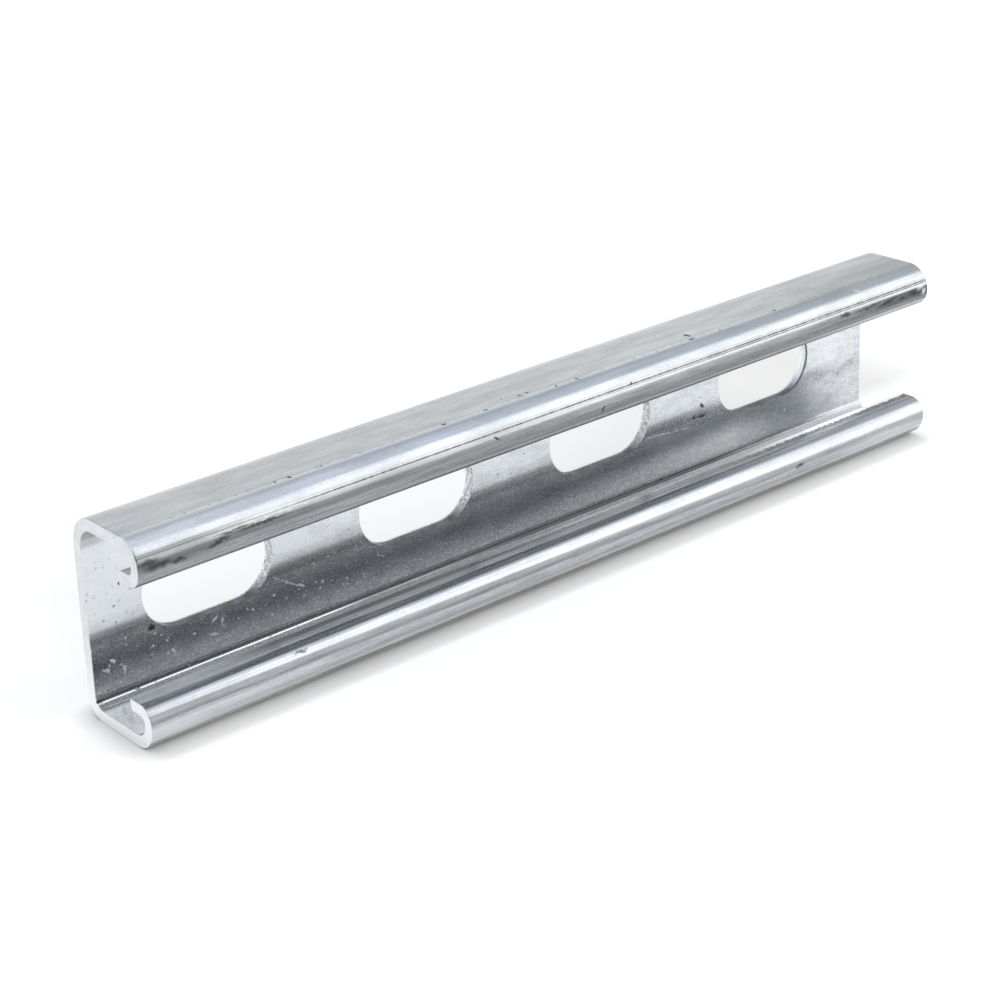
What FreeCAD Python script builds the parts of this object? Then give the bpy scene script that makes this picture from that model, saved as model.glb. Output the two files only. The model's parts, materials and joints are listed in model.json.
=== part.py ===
"""Slotted shallow strut channel: one strip of galvanised steel, roll-formed and punched, cut to length.

Frame, in millimetres: X runs along the channel, the slotted web stands at the back (+Y), the mouth
between the two inturned lips faces the front (-Y), and the channel lies on its lower flange at Z = 0.
The origin is the middle of the footprint. The near end is the one at -X.
"""
import FreeCAD, Part
import os
import Sketcher

NODE = "strut_channel"
TOLERANCE = 1e-4

SIZES = [
    # The section, over its outer faces.
    ("section_height", 41),         # over the two flanges
    ("section_depth", 22),          # from the web's back to the front of the lips
    ("sheet_thickness", 2.5),
    # The bends' inner radii; each outer radius is one sheet thickness more.
    ("upper_web_bend", 4),          # web to upper flange
    ("lower_web_bend", 2),          # web to lower flange, rolled tighter
    ("front_bend", 2.8),            # flange to lip
    ("lip_bend", 1.2),              # lip to its rolled edge
    # The straight stretches that the bends leave, and the strip's edge.
    ("lip_flat", 0.2),              # on the lip's front, between its two bends
    ("edge_flat", 3.2),             # from the lip bend to the strip's edge, inside the channel
    ("edge_round", 1),              # the strip's edge, rounded on the side that faces the flange
    # The length, along the lower flange, and the row of punched slots.
    ("channel_length", 209.6),
    ("cut_slant", 1.2),             # how far the saw's slant sets back the top of the near end
    ("end_margin", 12.2),           # from the near end's foot to the first slot
    ("slot_length", 29),
    ("slot_width", 16),
    ("slot_pitch", 50),
    ("slot_rollover", 0.4),         # the rounded rim on the web's back, where the punch went in
]

# Places on the section, worked out from the sizes.
WALL = "sizes.sheet_thickness"
TOP = "sizes.section_height"
HALF_DEPTH = "sizes.section_depth / 2"
LIP_WIDTH = f"(2 * {WALL} + sizes.front_bend + sizes.lip_flat + sizes.lip_bend)"
LIP_RETURN = f"(sizes.lip_bend + {WALL} + sizes.edge_flat)"
SLOTS = "(floor((sizes.channel_length - 2 * sizes.end_margin - sizes.slot_length) / sizes.slot_pitch) + 1)"


def make_sheet(doc):
    """The driving dimensions, one row each: the name in column A and the value in column B."""
    sheet = doc.addObject("Spreadsheet::Sheet", "sizes")
    for row, (name, value) in enumerate(SIZES, start=1):
        sheet.set(f"A{row}", name)
        sheet.set(f"B{row}", str(value))
        sheet.setAlias(f"B{row}", name)
    doc.recompute()
    return sheet


def origin_plane(body, role):
    """One of the body's own origin planes."""
    return next(feature for feature in body.Origin.OriginFeatures if feature.Role == role)


def add_sketch(body, name, plane_role):
    """An empty sketch on one of the body's origin planes."""
    sketch = body.newObject("Sketcher::SketchObject", name)
    sketch.AttachmentSupport = [(origin_plane(body, plane_role), "")]
    sketch.MapMode = "FlatFace"
    return sketch


def drive(sketch, constraint, name, expression):
    """Adds a dimension to the sketch and binds it to the sheet."""
    index = sketch.addConstraint(constraint)
    sketch.renameConstraint(index, name)
    sketch.setExpression(f"Constraints.{name}", expression)


def section_faces():
    """The faces of the section before it is bent, in the order the outline meets them.

    The first list holds the upright faces: a name, the side of the middle plane (+1 for the web, -1
    for the lips) and the distance from that plane. The second holds the level faces above the floor:
    a name and a height.
    """
    uprights = [
        ("web_back", 1, HALF_DEPTH),
        ("upper_lip_front", -1, HALF_DEPTH),
        ("upper_edge_end", -1, f"{HALF_DEPTH} - {LIP_RETURN}"),
        ("upper_lip_inside", -1, f"{HALF_DEPTH} - {WALL}"),
        ("web_inside", 1, f"{HALF_DEPTH} - {WALL}"),
        ("lower_lip_inside", -1, f"{HALF_DEPTH} - {WALL}"),
        ("lower_edge_end", -1, f"{HALF_DEPTH} - {LIP_RETURN}"),
        ("lower_lip_front", -1, HALF_DEPTH),
    ]
    levels = [
        ("upper_flange_top", TOP),
        ("upper_edge_underside", f"{TOP} - {LIP_WIDTH}"),
        ("upper_edge_inside", f"{TOP} - {LIP_WIDTH} + {WALL}"),
        ("upper_flange_inside", f"{TOP} - {WALL}"),
        ("lower_flange_inside", WALL),
        ("lower_edge_inside", f"{LIP_WIDTH} - {WALL}"),
        ("lower_edge_top", LIP_WIDTH),
    ]
    return uprights, levels


def value_of(sheet, expression):
    """The number an expression on the sheet stands for."""
    return float(sheet.evalExpression(expression.replace("sizes.", "")))


def draw_section(body, sheet):
    """The unbent outline: uprights and levels in turn, from the web's back foot round to the start."""
    sketch = add_sketch(body, "section", "YZ_Plane")
    uprights, levels = section_faces()
    across = [side * value_of(sheet, expression) for _, side, expression in uprights]
    heights = [0.0] + [value_of(sheet, expression) for _, expression in levels]
    corners = []
    for index, y in enumerate(across):
        corners.append(FreeCAD.Vector(y, heights[index], 0))
        corners.append(FreeCAD.Vector(y, heights[(index + 1) % len(heights)], 0))
    for start, end in zip(corners, corners[1:] + corners[:1]):
        sketch.addGeometry(Part.LineSegment(start, end))
    count = len(corners)
    for line in range(count):
        sketch.addConstraint(Sketcher.Constraint("Coincident", line, 2, (line + 1) % count, 1))
        sketch.addConstraint(Sketcher.Constraint("Vertical" if line % 2 == 0 else "Horizontal", line))
    for index, (name, side, expression) in enumerate(uprights):
        line = 2 * index
        ends = (-1, 1, line, 1) if side > 0 else (line, 1, -1, 1)
        drive(sketch, Sketcher.Constraint("DistanceX", *ends, abs(across[index])), name, expression)
    for index, (name, expression) in enumerate(levels):
        line = 2 * index + 1
        drive(sketch, Sketcher.Constraint("DistanceY", -1, 1, line, 1, heights[index + 1]), name, expression)
    sketch.addConstraint(Sketcher.Constraint("PointOnObject", 0, 1, -1))
    return sketch


def long_edges(shape, y, z):
    """Names of the straight edges that run the whole way along X through (y, z)."""
    names = []
    for index, edge in enumerate(shape.Edges, start=1):
        box = edge.BoundBox
        along = box.XLength > TOLERANCE and box.YLength < TOLERANCE and box.ZLength < TOLERANCE
        if along and abs(box.YMin - y) < TOLERANCE and abs(box.ZMin - z) < TOLERANCE:
            names.append(f"Edge{index}")
    return names


def bend(doc, body, sheet, name, radius, corners):
    """Rounds the section's corners that share one radius, given by its expression."""
    base = body.Tip
    edges = []
    for y, z in corners:
        edges += long_edges(base.Shape, value_of(sheet, y), value_of(sheet, z))
    fillet = body.newObject("PartDesign::Fillet", name)
    fillet.Base = (base, edges)
    fillet.setExpression("Radius", radius)
    doc.recompute()
    body.Tip = fillet
    return fillet


def roll_section(doc, body, sheet):
    """Pads the outline to length and bends its corners, each inside and out."""
    sketch = draw_section(body, sheet)
    pad = body.newObject("PartDesign::Pad", "strip")
    pad.Profile = sketch
    pad.Midplane = True
    pad.setExpression("Length", "sizes.channel_length")
    doc.recompute()
    back = HALF_DEPTH
    front = f"-{HALF_DEPTH}"
    back_in = f"{back} - {WALL}"
    front_in = f"{front} + {WALL}"
    edge_end = f"{front} + {LIP_RETURN}"
    top_in = f"{TOP} - {WALL}"
    upper_edge = f"{TOP} - {LIP_WIDTH}"
    lower_edge_in = f"{LIP_WIDTH} - {WALL}"
    upper_edge_in = f"{upper_edge} + {WALL}"
    inner_bends = [
        ("upper_web", "sizes.upper_web_bend", [(back_in, top_in)]),
        ("lower_web", "sizes.lower_web_bend", [(back_in, WALL)]),
        ("front", "sizes.front_bend", [(front_in, WALL), (front_in, top_in)]),
        ("lip", "sizes.lip_bend", [(front_in, lower_edge_in), (front_in, upper_edge_in)]),
    ]
    outer_bends = [
        ("upper_web", "sizes.upper_web_bend", [(back, TOP)]),
        ("lower_web", "sizes.lower_web_bend", [(back, "0")]),
        ("front", "sizes.front_bend", [(front, "0"), (front, TOP)]),
        ("lip", "sizes.lip_bend", [(front, LIP_WIDTH), (front, upper_edge)]),
    ]
    for name, radius, corners in inner_bends:
        bend(doc, body, sheet, f"{name}_inside", radius, corners)
    for name, radius, corners in outer_bends:
        bend(doc, body, sheet, f"{name}_outside", f"{radius} + {WALL}", corners)
    strip_edges = [(edge_end, lower_edge_in), (edge_end, upper_edge_in)]
    bend(doc, body, sheet, "strip_edge", "sizes.edge_round", strip_edges)


def draw_slot(body, sheet):
    """The first slot: two half circles joined by straight sides, at mid height of the web."""
    sketch = add_sketch(body, "slot", "XZ_Plane")
    radius = value_of(sheet, "sizes.slot_width / 2")
    half_straight = value_of(sheet, "(sizes.slot_length - sizes.slot_width) / 2")
    middle = value_of(sheet, "-sizes.channel_length / 2 + sizes.end_margin + sizes.slot_length / 2")
    height = value_of(sheet, "sizes.section_height / 2")
    left = FreeCAD.Vector(middle - half_straight, height, 0)
    right = FreeCAD.Vector(middle + half_straight, height, 0)
    up = FreeCAD.Vector(0, radius, 0)
    out = FreeCAD.Vector(radius, 0, 0)
    sketch.addGeometry(Part.LineSegment(left + up, right + up))
    sketch.addGeometry(Part.Arc(right + up, right + out, right - up))
    sketch.addGeometry(Part.LineSegment(right - up, left - up))
    sketch.addGeometry(Part.Arc(left - up, left - out, left + up))
    top_side, right_end, bottom_side, left_end = range(4)
    # An arc made through three points may run either way, so its ends are looked up.
    for line, point, arc in ((top_side, 2, right_end), (bottom_side, 1, right_end),
                             (bottom_side, 2, left_end), (top_side, 1, left_end)):
        place = sketch.getPoint(line, point)
        arc_point = 1 if sketch.getPoint(arc, 1).distanceToPoint(place) < TOLERANCE else 2
        sketch.addConstraint(Sketcher.Constraint("Tangent", line, point, arc, arc_point))
    sketch.addConstraint(Sketcher.Constraint("Horizontal", top_side))
    sketch.addConstraint(Sketcher.Constraint("Equal", left_end, right_end))
    drive(sketch, Sketcher.Constraint("Radius", right_end, radius), "end_radius", "sizes.slot_width / 2")
    drive(sketch, Sketcher.Constraint("DistanceX", left_end, 3, right_end, 3, 2 * half_straight),
          "straight", "sizes.slot_length - sizes.slot_width")
    drive(sketch, Sketcher.Constraint("DistanceX", left_end, 3, -1, 1, -left.x), "from_middle",
          "sizes.channel_length / 2 - sizes.end_margin - sizes.slot_width / 2")
    drive(sketch, Sketcher.Constraint("DistanceY", -1, 1, left_end, 3, height), "mid_height",
          "sizes.section_height / 2")
    return sketch


def punch_slots(doc, body, sheet):
    """Cuts the first slot through the web and repeats it as often as the length allows."""
    sketch = draw_slot(body, sheet)
    uncut = body.Tip.Shape.Volume
    pocket = body.newObject("PartDesign::Pocket", "first_slot")
    pocket.Profile = sketch
    pocket.Type = "ThroughAll"
    doc.recompute()
    if pocket.Shape.Volume > uncut - TOLERANCE:
        raise RuntimeError("the slot cut nothing out of the web")
    row = body.newObject("PartDesign::LinearPattern", "slot_row")
    row.Originals = [pocket]
    row.Direction = (sketch, ["H_Axis"])
    row.setExpression("Occurrences", SLOTS)
    row.setExpression("Length", f"({SLOTS} - 1) * sizes.slot_pitch")
    body.Tip = row
    doc.recompute()
    return row


def round_punched_edges(doc, body, sheet):
    """Rounds the slots' rims on the web's back, where the punch drew the sheet in."""
    base = body.Tip
    back = value_of(sheet, "sizes.section_depth / 2")
    half_length = value_of(sheet, "sizes.channel_length / 2")
    rims = []
    for index, edge in enumerate(base.Shape.Edges, start=1):
        box = edge.BoundBox
        on_back = abs(box.YMin - back) < TOLERANCE and abs(box.YMax - back) < TOLERANCE
        if on_back and box.XMax < half_length - TOLERANCE and box.XMin > TOLERANCE - half_length:
            rims.append(f"Edge{index}")
    rollover = body.newObject("PartDesign::Fillet", "rollover")
    rollover.Base = (base, rims)
    rollover.setExpression("Radius", "sizes.slot_rollover")
    body.Tip = rollover
    doc.recompute()


def saw_near_end(doc, body, sheet):
    """Takes a thin wedge off the near end, which the saw cut a little out of square."""
    sketch = add_sketch(body, "saw_line", "XZ_Plane")
    end = value_of(sheet, "-sizes.channel_length / 2")
    top = value_of(sheet, "sizes.section_height")
    slant = value_of(sheet, "sizes.cut_slant")
    foot = FreeCAD.Vector(end, 0, 0)
    set_back = FreeCAD.Vector(end + slant, top, 0)
    uncut_corner = FreeCAD.Vector(end, top, 0)
    corners = [foot, set_back, uncut_corner]
    for start, finish in zip(corners, corners[1:] + corners[:1]):
        sketch.addGeometry(Part.LineSegment(start, finish))
    saw, top_side, end_side = range(3)
    sketch.addConstraint(Sketcher.Constraint("Coincident", saw, 2, top_side, 1))
    sketch.addConstraint(Sketcher.Constraint("Coincident", top_side, 2, end_side, 1))
    sketch.addConstraint(Sketcher.Constraint("Coincident", end_side, 2, saw, 1))
    sketch.addConstraint(Sketcher.Constraint("Horizontal", top_side))
    sketch.addConstraint(Sketcher.Constraint("Vertical", end_side))
    sketch.addConstraint(Sketcher.Constraint("PointOnObject", saw, 1, -1))
    drive(sketch, Sketcher.Constraint("DistanceX", saw, 1, -1, 1, -end), "foot", "sizes.channel_length / 2")
    drive(sketch, Sketcher.Constraint("DistanceY", saw, 1, saw, 2, top), "rise", "sizes.section_height")
    drive(sketch, Sketcher.Constraint("DistanceX", saw, 1, saw, 2, slant), "set_back", "sizes.cut_slant")
    uncut = body.Tip.Shape.Volume
    wedge = body.newObject("PartDesign::Pocket", "saw_cut")
    wedge.Profile = sketch
    wedge.Type = "ThroughAll"
    wedge.Midplane = True
    body.Tip = wedge
    doc.recompute()
    if wedge.Shape.Volume > uncut - TOLERANCE:
        raise RuntimeError("the saw cut took nothing off the near end")


def check(doc, body):
    """Stops if any feature failed or the channel is not one sound solid."""
    for item in doc.Objects:
        if {"Invalid", "Error"} & set(item.State):
            raise RuntimeError(f"{item.Label} failed: {item.State}")
    if body.Shape.isNull() or not body.Shape.isValid():
        raise RuntimeError("the channel's shape is not valid")
    if len(body.Shape.Solids) != 1:
        raise RuntimeError("the channel is not one piece")


def main():
    doc = FreeCAD.newDocument("channel")
    sheet = make_sheet(doc)
    body = doc.addObject("PartDesign::Body", NODE)
    body.Label = NODE
    body.Placement = FreeCAD.Placement()
    roll_section(doc, body, sheet)
    punch_slots(doc, body, sheet)
    round_punched_edges(doc, body, sheet)
    saw_near_end(doc, body, sheet)
    check(doc, body)
    os.makedirs("parts", exist_ok=True)
    body.Shape.exportStep(f"parts/{NODE}.step")
    box = body.Shape.BoundBox
    print(f"{NODE}: {box.XLength:.2f} x {box.YLength:.2f} x {box.ZLength:.2f} mm, "
          f"{body.Shape.Volume / 1000:.2f} cm3, {len(body.Shape.Faces)} faces")


main()
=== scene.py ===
# %% [markdown]
# A slotted strut channel, made as its maker makes it: a flat strip is punched, rolled to section and
# sawn to length. The measured solid is already in the frame. This lesson models the same strip again,
# finely enough for its bends, rims and edges to catch the light, and gives it its galvanised finish.

# %% Load the measured solid
import json
import math

import bmesh
import bpy
from mathutils import Matrix, Vector
from mathutils.kdtree import KDTree

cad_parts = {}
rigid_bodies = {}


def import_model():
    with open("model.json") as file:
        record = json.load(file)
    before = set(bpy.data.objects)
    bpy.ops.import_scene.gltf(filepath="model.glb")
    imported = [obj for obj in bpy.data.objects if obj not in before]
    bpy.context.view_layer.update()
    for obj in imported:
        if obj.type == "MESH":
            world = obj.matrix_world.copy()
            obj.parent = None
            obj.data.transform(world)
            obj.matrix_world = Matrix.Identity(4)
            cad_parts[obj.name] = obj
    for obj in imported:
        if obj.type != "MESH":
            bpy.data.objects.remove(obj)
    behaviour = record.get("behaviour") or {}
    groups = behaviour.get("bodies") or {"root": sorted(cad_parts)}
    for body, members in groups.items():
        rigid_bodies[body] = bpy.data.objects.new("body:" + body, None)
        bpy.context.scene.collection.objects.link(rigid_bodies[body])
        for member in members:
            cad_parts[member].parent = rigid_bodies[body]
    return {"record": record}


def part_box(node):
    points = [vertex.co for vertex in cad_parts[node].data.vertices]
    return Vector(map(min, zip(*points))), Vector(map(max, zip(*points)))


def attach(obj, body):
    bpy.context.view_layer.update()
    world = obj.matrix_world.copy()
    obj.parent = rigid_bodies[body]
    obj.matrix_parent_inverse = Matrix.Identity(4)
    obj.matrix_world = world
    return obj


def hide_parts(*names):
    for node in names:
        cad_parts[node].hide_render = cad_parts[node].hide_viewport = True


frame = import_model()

NODE = "strut_channel"
MM = 0.001
for extra in [thing for thing in bpy.data.objects if thing.name in ("Cube", "Light", "Camera")]:
    bpy.data.objects.remove(extra)      # Blender's own starting cube, lamp and camera
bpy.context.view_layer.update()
foot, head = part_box(NODE)
LENGTH, DEPTH, HEIGHT = head - foot
print(f"the solid is {LENGTH / MM:.1f} x {DEPTH / MM:.1f} x {HEIGHT / MM:.1f} mm")

# %% [markdown]
# The overall size is read from the solid, and the slots from the bolt patterns in its record. What
# neither of them says, such as the sheet and the radii of the bends, is named here. A bend is drawn
# along the middle of the sheet, where it is neither stretched nor squeezed, so half the sheet is added
# to each inner radius.

# %% Name the sizes
SHEET = 2.5 * MM
UPPER_WEB_BEND = 4.0 * MM + SHEET / 2
LOWER_WEB_BEND = 2.0 * MM + SHEET / 2
FRONT_BEND = 2.8 * MM + SHEET / 2
LIP_BEND = 1.2 * MM + SHEET / 2
LIP_FLAT = 0.2 * MM         # between the front bend and the lip's own bend
EDGE_FLAT = 3.2 * MM        # from the lip's bend to the strip's edge
EDGE_ROUND = 1.0 * MM
SLOT_ROLLOVER = 0.4 * MM    # the soft rim round a slot on the back
CUT_SLANT = 1.2 * MM        # how far the near end's cut leans over the height
CUT_INSET = 0.1 * MM        # the sawn faces stay this far inside the solid's ends

patterns = [mount for mount in frame["record"]["mounts"] if mount["kind"] == "bolt_pattern"]
slot_sizes = patterns[0]["dims"]
SLOT_RADIUS = slot_sizes["hole_r_mm"] * MM
SLOT_LENGTH = slot_sizes["slot_length_mm"] * MM
SLOT_PITCH = slot_sizes["spacing_x_mm"] * MM
SLOT_HEIGHT = patterns[0]["pos_m"][2]
slot_middles = sorted(mount["pos_m"][0] + side * SLOT_PITCH / 2 for mount in patterns for side in (-1, 1))
WEB_Y = DEPTH / 2 - SHEET / 2
WEB_FOOT = SHEET / 2 + LOWER_WEB_BEND
WEB_HEAD = HEIGHT - SHEET / 2 - UPPER_WEB_BEND
print("slots at", [round(x / MM, 1) for x in slot_middles], "mm, web flat",
      round((WEB_HEAD - WEB_FOOT) / MM, 1), "mm high")

# %% [markdown]
# Operators act on whatever is selected, so each step first clears the selection and then picks edges
# or faces by where they are. These few helpers do that, and read like the instructions a teacher
# would give: open this piece, choose these edges, close it again.

# %% Helpers for working on a mesh
NEAR = 0.01 * MM        # places closer than this count as one


def take(piece):
    """Makes the piece the only thing that operators act on."""
    bpy.ops.object.select_all(action="DESELECT")
    piece.select_set(True)
    bpy.context.view_layer.objects.active = piece


def open_mesh(piece):
    """Goes into edit mode on the piece."""
    take(piece)
    bpy.ops.object.mode_set(mode="EDIT")


def close_mesh():
    """Goes back to object mode, which writes the edits into the mesh."""
    bpy.ops.object.mode_set(mode="OBJECT")


def choose(piece, kind, wanted):
    """Selects the parts of one kind (verts, edges or faces) that pass the test, and counts them."""
    bpy.ops.mesh.select_mode(type={"verts": "VERT", "edges": "EDGE", "faces": "FACE"}[kind])
    bpy.ops.mesh.select_all(action="DESELECT")
    form = bmesh.from_edit_mesh(piece.data)
    chosen = [part for part in getattr(form, kind) if wanted(part)]
    for part in chosen:
        part.select_set(True)
    bmesh.update_edit_mesh(piece.data)
    return len(chosen)


def on_line(edge, y=None, z=None, x=None):
    """True if both ends of the edge have the given coordinates."""
    given = [(axis, value) for axis, value in enumerate((x, y, z)) if value is not None]
    return all(abs(end.co[axis] - value) < NEAR for end in edge.verts for axis, value in given)


def spin(centre, axis, angle, steps):
    """Spins what is selected, counter-clockwise when the axis points at the viewer."""
    clockwise = -angle      # which is how the operator turns
    bpy.ops.mesh.spin(steps=steps, angle=clockwise, center=centre, axis=axis)


def bevel(width, steps):
    """Bevels the selected edges, each side of the edge by the given width."""
    bpy.ops.mesh.bevel(offset=width, offset_type="OFFSET", segments=steps, profile=0.5,
                       clamp_overlap=False)


def apply(piece, kind, name, **settings):
    """Adds a modifier with its settings and applies it."""
    take(piece)
    modifier = piece.modifiers.new(name, kind)
    for setting, value in settings.items():
        setattr(modifier, setting, value)
    bpy.ops.object.modifier_apply(modifier=name)


# %% [markdown]
# The web is where the punch works. One slot's stretch of it is a rectangle with an oval hole. The oval
# is two straight sides whose ends are spun half a turn, and bridging it to the rectangle's outline
# fills the sheet between them with clean quads that run round the hole. A boolean would cut the same
# hole, but leaves long thin faces that make a bevelled rim pucker.

# %% Model one slot's stretch of the web
ARC_STEPS = 24          # edges on each rounded end of a slot
SIDE_STEPS = 8          # edges on each straight side of a slot
ALONG_STEPS = 20        # edges along one stretch
UPRIGHT_STEPS = ARC_STEPS + SIDE_STEPS - ALONG_STEPS
RINGS = 3               # loops of edges between the slot and the outline
UPRIGHT = (math.pi / 2, 0, 0)


def add_outline(middle, height, width, tall):
    """Adds an upright rectangle in edit mode and leaves its four edges."""
    bpy.ops.mesh.select_all(action="DESELECT")
    place = (middle, WEB_Y, height)
    bpy.ops.mesh.primitive_plane_add(size=1, location=place, rotation=UPRIGHT)
    bpy.ops.transform.resize(value=(width, 1, tall), center_override=place)
    bpy.ops.mesh.delete(type="ONLY_FACE")


def web_stretch(middle):
    """The middle surface of the web for one slot's pitch, with the slot in it."""
    half_straight = SLOT_LENGTH / 2 - SLOT_RADIUS
    bpy.ops.object.select_all(action="DESELECT")
    bpy.ops.mesh.primitive_plane_add(size=1)
    stretch = bpy.context.object
    open_mesh(stretch)
    bpy.ops.mesh.delete(type="VERT")    # an emptied plane is a mesh to draw in
    add_outline(middle, SLOT_HEIGHT, 2 * half_straight, 2 * SLOT_RADIUS)
    for side in (-1, 1):
        end_x = middle + side * half_straight
        choose(stretch, "edges", lambda edge: on_line(edge, x=end_x))
        bpy.ops.mesh.delete(type="EDGE")
        choose(stretch, "verts", lambda vert: abs(vert.co.x - end_x) < NEAR and vert.co.z > SLOT_HEIGHT)
        spin((end_x, WEB_Y, SLOT_HEIGHT), (0, 1, 0), side * math.pi, ARC_STEPS)
    bpy.ops.mesh.select_all(action="SELECT")
    bpy.ops.mesh.remove_doubles(threshold=NEAR)
    choose(stretch, "edges", lambda edge: edge.calc_length() > 2 * half_straight - NEAR)
    bpy.ops.mesh.subdivide(number_cuts=SIDE_STEPS - 1)
    add_outline(middle, (WEB_FOOT + WEB_HEAD) / 2, SLOT_PITCH, WEB_HEAD - WEB_FOOT)
    choose(stretch, "edges", lambda edge: edge.calc_length() > SLOT_PITCH - NEAR)
    bpy.ops.mesh.subdivide(number_cuts=ALONG_STEPS - 1)
    choose(stretch, "edges", lambda edge: edge.calc_length() > WEB_HEAD - WEB_FOOT - NEAR)
    bpy.ops.mesh.subdivide(number_cuts=UPRIGHT_STEPS - 1)
    bpy.ops.mesh.select_all(action="SELECT")
    bpy.ops.mesh.bridge_edge_loops(number_cuts=RINGS, interpolation="LINEAR")
    close_mesh()
    return stretch


stretches = [web_stretch(middle) for middle in slot_middles]
for stretch in stretches:
    faces = stretch.data.polygons
    print(len(faces), "faces in this stretch,", sum(len(face.vertices) == 4 for face in faces), "four-sided")

# %% [markdown]
# The stretches are joined into one web, and their common borders are merged. A real strip is fed in
# longer than it is sold, so the web is then lengthened past both saw lines, in steps about as long as
# the other faces are.

# %% Join the stretches and lengthen the web
SPARE = 3 * MM          # what the saw takes off each end
END_STEP = SLOT_PITCH / ALONG_STEPS

bpy.ops.object.select_all(action="DESELECT")
for stretch in stretches:
    stretch.select_set(True)
bpy.context.view_layer.objects.active = stretches[0]
bpy.ops.object.join()
strip = stretches[0]
strip.name = "zinc_strip"
strip.data.name = "zinc_strip"
open_mesh(strip)
bpy.ops.mesh.select_all(action="SELECT")
bpy.ops.mesh.remove_doubles(threshold=NEAR)
for side, middle in ((-1, slot_middles[0]), (1, slot_middles[-1])):
    border = middle + side * SLOT_PITCH / 2
    reach = side * (LENGTH / 2 + SPARE) - border
    steps = max(1, round(abs(reach) / END_STEP))
    for step in range(steps):
        choose(strip, "edges", lambda edge: on_line(edge, x=border + reach * step / steps))
        bpy.ops.mesh.extrude_edges_move(TRANSFORM_OT_translate={"value": (reach / steps, 0, 0)})
close_mesh()
places = [vert.co.x for vert in strip.data.vertices]
print(f"the web runs from {min(places) / MM:.1f} to {max(places) / MM:.1f} mm")

# %% [markdown]
# Now the strip is rolled, from the web outwards on both sides. Each flat is an edge extruded, and each
# bend is that edge spun about the bend's own axis. So every radius is exact, and the section can be read
# off the list. A profile curve would do as well, but the slots are already in the web, and a curve has
# no holes.

# %% Roll the section
BEND_STEPS = 14
FLANGE_STEPS = 6
LIP_STEPS = 2
UPPER_FLANGE = DEPTH - SHEET - UPPER_WEB_BEND - FRONT_BEND
LOWER_FLANGE = DEPTH - SHEET - LOWER_WEB_BEND - FRONT_BEND


def roll(piece, y, z, heading, turn, section):
    """Carries the sheet's edge on through its bends and flats, and returns where it ends."""
    for kind, size, steps in section:
        along = Vector((0, math.cos(heading), math.sin(heading)))
        if kind == "flat":
            for _ in range(steps):
                choose(piece, "edges", lambda edge: on_line(edge, y=y, z=z))
                bpy.ops.mesh.extrude_edges_move(TRANSFORM_OT_translate={"value": along * size / steps})
                y += along.y * size / steps
                z += along.z * size / steps
        else:
            inwards = Vector((0, -turn * along.z, turn * along.y))
            centre = Vector((0, y, z)) + inwards * size
            choose(piece, "edges", lambda edge: on_line(edge, y=y, z=z))
            spin(centre, (1, 0, 0), turn * math.pi / 2, steps)
            y, z = centre.y + along.y * size, centre.z + along.z * size
            heading += turn * math.pi / 2
    return y, z


def section_from(web_bend, flange):
    """The bends and flats from the web to the strip's edge: what each is, its size and its steps."""
    return [("bend", web_bend, BEND_STEPS), ("flat", flange, FLANGE_STEPS), ("bend", FRONT_BEND, BEND_STEPS),
            ("flat", LIP_FLAT, 1), ("bend", LIP_BEND, BEND_STEPS), ("flat", EDGE_FLAT, LIP_STEPS)]


upper_section = section_from(UPPER_WEB_BEND, UPPER_FLANGE)
lower_section = section_from(LOWER_WEB_BEND, LOWER_FLANGE)
open_mesh(strip)
upper_end = roll(strip, WEB_Y, WEB_HEAD, math.pi / 2, 1, upper_section)
lower_end = roll(strip, WEB_Y, WEB_FOOT, -math.pi / 2, -1, lower_section)
bpy.ops.mesh.select_all(action="SELECT")
bpy.ops.mesh.remove_doubles(threshold=NEAR / 2)
bpy.ops.mesh.normals_make_consistent(inside=False)
close_mesh()
print("the strip's edges end at", [[round(value / MM, 2) for value in end] for end in (upper_end, lower_end)],
      "with", len(strip.data.polygons), "faces")

# %% [markdown]
# So far the strip has no thickness. Solidify grows half the sheet to each side of the drawn surface,
# evenly round the bends. The saw is a bisect: it cuts the solid on a plane, throws the waste away and
# fills the cut. The near end was sawn slightly out of square, so its plane leans with it.

# %% Give the sheet its thickness and saw both ends
apply(strip, "SOLIDIFY", "sheet", thickness=SHEET, offset=0.0, use_even_offset=True,
      use_quality_normals=True)


def saw(piece, place, outwards):
    """Cuts the piece on the plane through the place and throws away what lies outwards of it."""
    open_mesh(piece)
    bpy.ops.mesh.select_all(action="SELECT")
    bpy.ops.mesh.bisect(plane_co=place, plane_no=outwards, clear_outer=True, use_fill=True)
    close_mesh()


near_cut = Vector((-HEIGHT, 0, CUT_SLANT)).normalized()
saw(strip, (-LENGTH / 2 + CUT_INSET, 0, 0), near_cut)
saw(strip, (LENGTH / 2 - CUT_INSET, 0, 0), (1, 0, 0))
print("sheet", SHEET / MM, "mm thick, strip now",
      [round(side / MM, 2) for side in strip.dimensions], "mm with", len(strip.data.polygons), "faces")

# %% [markdown]
# The rollers bear hardest where the strip turns over at the front, and there they press a fine crease
# that runs the whole length. It is a groove about a fifth of a millimetre wide: the long edge on the
# outside of the bend where it lies is bevelled in two, and the edge left in the middle is pushed in.

# %% Press the roller's crease into the front bends
CREASE_STEP = 10            # which edge of the bend, counted from the flange
CREASE_WIDTH = 0.11 * MM    # from the crease's middle to either side
CREASE_DEPTH = 0.05 * MM
ON_CREASE = 0.03 * MM       # a corner this near the crease's line lies on it
OUTER_FRONT = FRONT_BEND + SHEET / 2
FRONT_AXIS_Y = SHEET / 2 + FRONT_BEND - DEPTH / 2


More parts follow.
